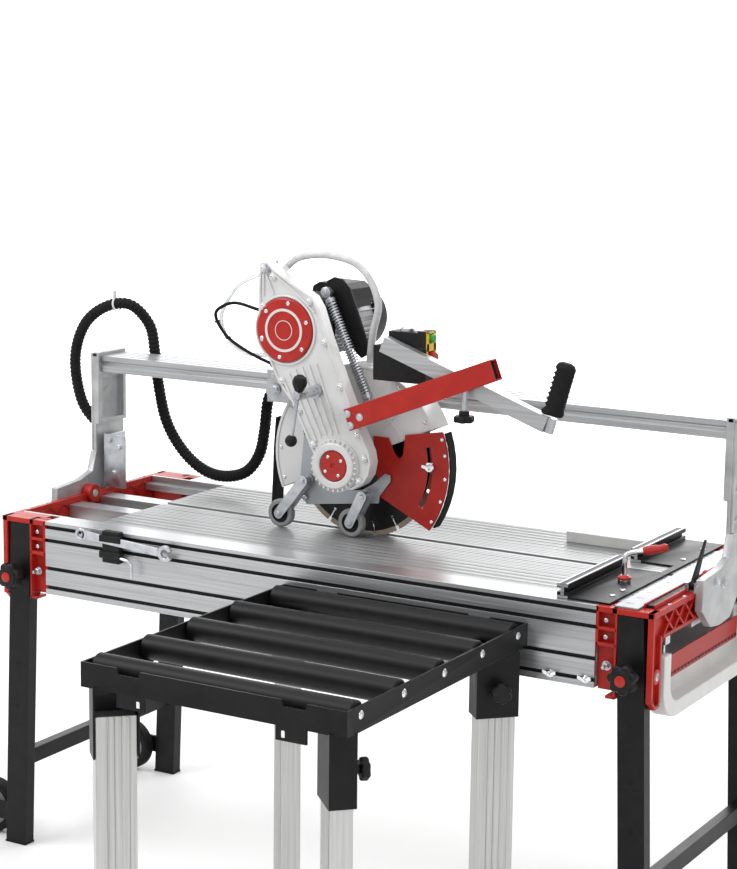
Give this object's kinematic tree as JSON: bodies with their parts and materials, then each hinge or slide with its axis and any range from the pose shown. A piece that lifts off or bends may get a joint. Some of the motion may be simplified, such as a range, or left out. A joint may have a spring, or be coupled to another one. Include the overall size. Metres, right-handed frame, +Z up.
{
  "type": "masonry saw",
  "caption": "Bridge masonry saw on a folding-leg stand with tilting beam, plunging belt-driven blade head, water tray, angle fence and a roller extension table.",
  "frame": {"origin": "centre of the footprint at floor level", "axes": "+X along the cut towards the end with the tray rim, +Y from the operator to the rear, +Z up"},
  "size_m": [1.7346, 1.3044, 1.3818],
  "materials": {
    "cast_red": "satin",
    "plate_alu": "brushed",
    "beam_alu": "anodised",
    "cast_grey": "as cast",
    "cover_white": "satin",
    "black_paint": "satin",
    "black_plastic": "matt",
    "red_plastic": "gloss",
    "green_plastic": "gloss",
    "tray_plastic": "matt",
    "grey_plastic": "matt",
    "rubber": "matt",
    "tyre": "matt",
    "zinc": "zinc plated",
    "chrome": "polished",
    "blade_steel": "blackened"
  },
  "bodies": {
    "bed": {"end_casting_left": "cast_red", "end_casting_right": "cast_red", "front_beam": "beam_alu", "rear_beam": "beam_alu", "centre_rail": "beam_alu", "table_plate_front": "plate_alu", "table_plate_rear": "plate_alu", "scale_bar": "plate_alu", "tilt_bracket": "zinc", "roller_frame": "black_paint"},
    "tray": {"water_tray": "tray_plastic"},
    "stand_left": {"stand_frame_left": "black_paint"},
    "stand_right": {"stand_frame_right": "black_paint"},
    "left_knob": {"stand_knob_left": "black_plastic"},
    "right_knob": {"stand_knob_right": "black_plastic"},
    "front_wheel": {"transport_wheel_front": "tyre"},
    "rear_wheel": {"transport_wheel_rear": "tyre"},
    "bridge": {"upright_left": "cast_grey", "upright_right": "cast_grey", "bridge_beam": "beam_alu", "supply_conduit": "rubber"},
    "tilt_lever": {"tilt_lock_lever": "zinc"},
    "carriage": {"carriage": "cast_grey"},
    "head": {"head_frame": "cast_grey", "belt_cover": "cover_white", "motor_cap": "red_plastic", "spindle_cap": "red_plastic", "motor": "black_paint", "drive_belt": "rubber", "blade_guard": "cover_white", "splash_flap": "rubber", "wheel_bracket": "zinc", "balance_spring": "zinc", "support_arm": "cast_red", "handle_tube": "zinc", "handle_grip": "rubber", "switch_box": "black_plastic", "water_hose": "grey_plastic"},
    "blade_spindle": {"spindle": "zinc", "blade": "blade_steel"},
    "motor_shaft": {"motor_pulley": "zinc"},
    "flap": {"guard_flap": "cast_red", "guard_rubber": "rubber"},
    "guide_left": {"guide_wheel_left": "black_plastic"},
    "guide_right": {"guide_wheel_right": "black_plastic"},
    "arm_knob": {"arm_clamp_knob": "black_plastic"},
    "start": {"start_button": "green_plastic"},
    "stop": {"stop_button": "red_plastic"},
    "lock_lever": {"plunge_lock_lever": "zinc"},
    "fence": {"fence": "black_paint"},
    "clamp": {"fence_clamp": "chrome"},
    "roller_1_body": {"roller_1": "black_paint"},
    "roller_2_body": {"roller_2": "black_paint"},
    "roller_3_body": {"roller_3": "black_paint"},
    "roller_4_body": {"roller_4": "black_paint"},
    "roller_5_body": {"roller_5": "black_paint"},
    "leg_front_left": {"roller_leg_front_left": "beam_alu"},
    "leg_front_right": {"roller_leg_front_right": "beam_alu"},
    "leg_rear_left": {"roller_leg_rear_left": "beam_alu"},
    "leg_rear_right": {"roller_leg_rear_right": "beam_alu"}
  },
  "joints": [
    {"name": "tray_slide", "type": "slide", "parent": "bed", "child": "tray", "axis": [1, 0, 0], "range_m": [0, 0.3]},
    {"name": "stand_left_slide", "type": "slide", "parent": "bed", "child": "stand_left", "axis": [-0.038, 0, -0.9993], "range_m": [0, 0.1]},
    {"name": "stand_right_slide", "type": "slide", "parent": "bed", "child": "stand_right", "axis": [0.038, 0, -0.9993], "range_m": [0, 0.1]},
    {"name": "left_knob_turn", "type": "hinge", "parent": "stand_left", "child": "left_knob", "pos_m": [-0.68589, 0.01524, 0.641], "axis": [0, 1, 0], "continuous": true},
    {"name": "right_knob_turn", "type": "hinge", "parent": "stand_right", "child": "right_knob", "pos_m": [0.79639, 0.01524, 0.641], "axis": [0, 1, 0], "continuous": true},
    {"name": "front_wheel_spin", "type": "hinge", "parent": "stand_left", "child": "front_wheel", "pos_m": [-0.80475, 0.08324, 0.064], "axis": [0, 1, 0], "continuous": true},
    {"name": "rear_wheel_spin", "type": "hinge", "parent": "stand_left", "child": "rear_wheel", "pos_m": [-0.80475, 0.60724, 0.064], "axis": [0, 1, 0], "continuous": true},
    {"name": "bridge_tilt", "type": "hinge", "parent": "bed", "child": "bridge", "pos_m": [0.05525, 0.34524, 0.768], "axis": [-1, 0, 0], "range_deg": [0, 45]},
    {"name": "tilt_lever_turn", "type": "hinge", "parent": "bed", "child": "tilt_lever", "pos_m": [0.83625, 0.24124, 0.781], "axis": [1, 0, 0], "range_deg": [-40, 20]},
    {"name": "carriage_slide", "type": "slide", "parent": "bridge", "child": "carriage", "axis": [1, 0, 0], "range_m": [-0.44, 0.56], "deforming": ["supply_conduit"]},
    {"name": "head_plunge", "type": "hinge", "parent": "carriage", "child": "head", "pos_m": [-0.16675, 0.31524, 1.072], "axis": [0, -1, 0], "range_deg": [0, 28]},
    {"name": "blade_spin", "type": "hinge", "parent": "head", "child": "blade_spindle", "pos_m": [0.02525, 0.24924, 0.934], "axis": [0, 1, 0], "continuous": true},
    {"name": "motor_spin", "type": "hinge", "parent": "head", "child": "motor_shaft", "pos_m": [-0.10275, 0.24924, 1.214], "axis": [0, 1, 0], "continuous": true},
    {"name": "flap_swing", "type": "hinge", "parent": "head", "child": "flap", "pos_m": [0.02525, 0.30624, 0.934], "axis": [0, -1, 0], "range_deg": [0, 40]},
    {"name": "guide_left_spin", "type": "hinge", "parent": "head", "child": "guide_left", "pos_m": [-0.14675, 0.28224, 0.8005], "axis": [0, 1, 0], "continuous": true},
    {"name": "guide_right_spin", "type": "hinge", "parent": "head", "child": "guide_right", "pos_m": [0.03325, 0.28224, 0.8005], "axis": [0, 1, 0], "continuous": true},
    {"name": "arm_knob_turn", "type": "hinge", "parent": "head", "child": "arm_knob", "pos_m": [0.33825, 0.21024, 1.071], "axis": [0, 0, 1], "continuous": true},
    {"name": "start_press", "type": "slide", "parent": "head", "child": "start", "axis": [-1, 0, 0], "range_m": [0, 0.003], "stiffness_N_per_m": 400},
    {"name": "stop_press", "type": "slide", "parent": "head", "child": "stop", "axis": [-1, 0, 0], "range_m": [0, 0.003], "stiffness_N_per_m": 400},
    {"name": "lock_lever_turn", "type": "hinge", "parent": "head", "child": "lock_lever", "pos_m": [-0.02275, 0.18524, 1.09], "axis": [0, 1, 0], "range_deg": [-40, 40]},
    {"name": "fence_slide", "type": "slide", "parent": "bed", "child": "fence", "axis": [1, 0, 0], "range_m": [-0.45, 0]},
    {"name": "clamp_turn", "type": "hinge", "parent": "fence", "child": "clamp", "pos_m": [0.69725, 0.22524, 0.78], "axis": [0, 0, 1], "range_deg": [-90, 15]},
    {"name": "roller_1_spin", "type": "hinge", "parent": "bed", "child": "roller_1_body", "pos_m": [0.29625, -0.60216, 0.697], "axis": [1, 0, 0], "continuous": true},
    {"name": "roller_2_spin", "type": "hinge", "parent": "bed", "child": "roller_2_body", "pos_m": [0.29625, -0.45316, 0.697], "axis": [1, 0, 0], "continuous": true},
    {"name": "roller_3_spin", "type": "hinge", "parent": "bed", "child": "roller_3_body", "pos_m": [0.29625, -0.30416, 0.697], "axis": [1, 0, 0], "continuous": true},
    {"name": "roller_4_spin", "type": "hinge", "parent": "bed", "child": "roller_4_body", "pos_m": [0.29625, -0.15516, 0.697], "axis": [1, 0, 0], "continuous": true},
    {"name": "roller_5_spin", "type": "hinge", "parent": "bed", "child": "roller_5_body", "pos_m": [0.29625, -0.00616, 0.697], "axis": [1, 0, 0], "continuous": true},
    {"name": "leg_front_left_slide", "type": "slide", "parent": "bed", "child": "leg_front_left", "axis": [0, 0, -1], "range_m": [0, 0.08]},
    {"name": "leg_front_right_slide", "type": "slide", "parent": "bed", "child": "leg_front_right", "axis": [0, 0, -1], "range_m": [0, 0.08]},
    {"name": "leg_rear_left_slide", "type": "slide", "parent": "bed", "child": "leg_rear_left", "axis": [0, 0, -1], "range_m": [0, 0.08]},
    {"name": "leg_rear_right_slide", "type": "slide", "parent": "bed", "child": "leg_rear_right", "axis": [0, 0, -1], "range_m": [0, 0.08]}
  ],
  "couplings": [
    {"joint": "motor_spin", "follows": "blade_spin", "ratio": 1.0769}
  ]
}
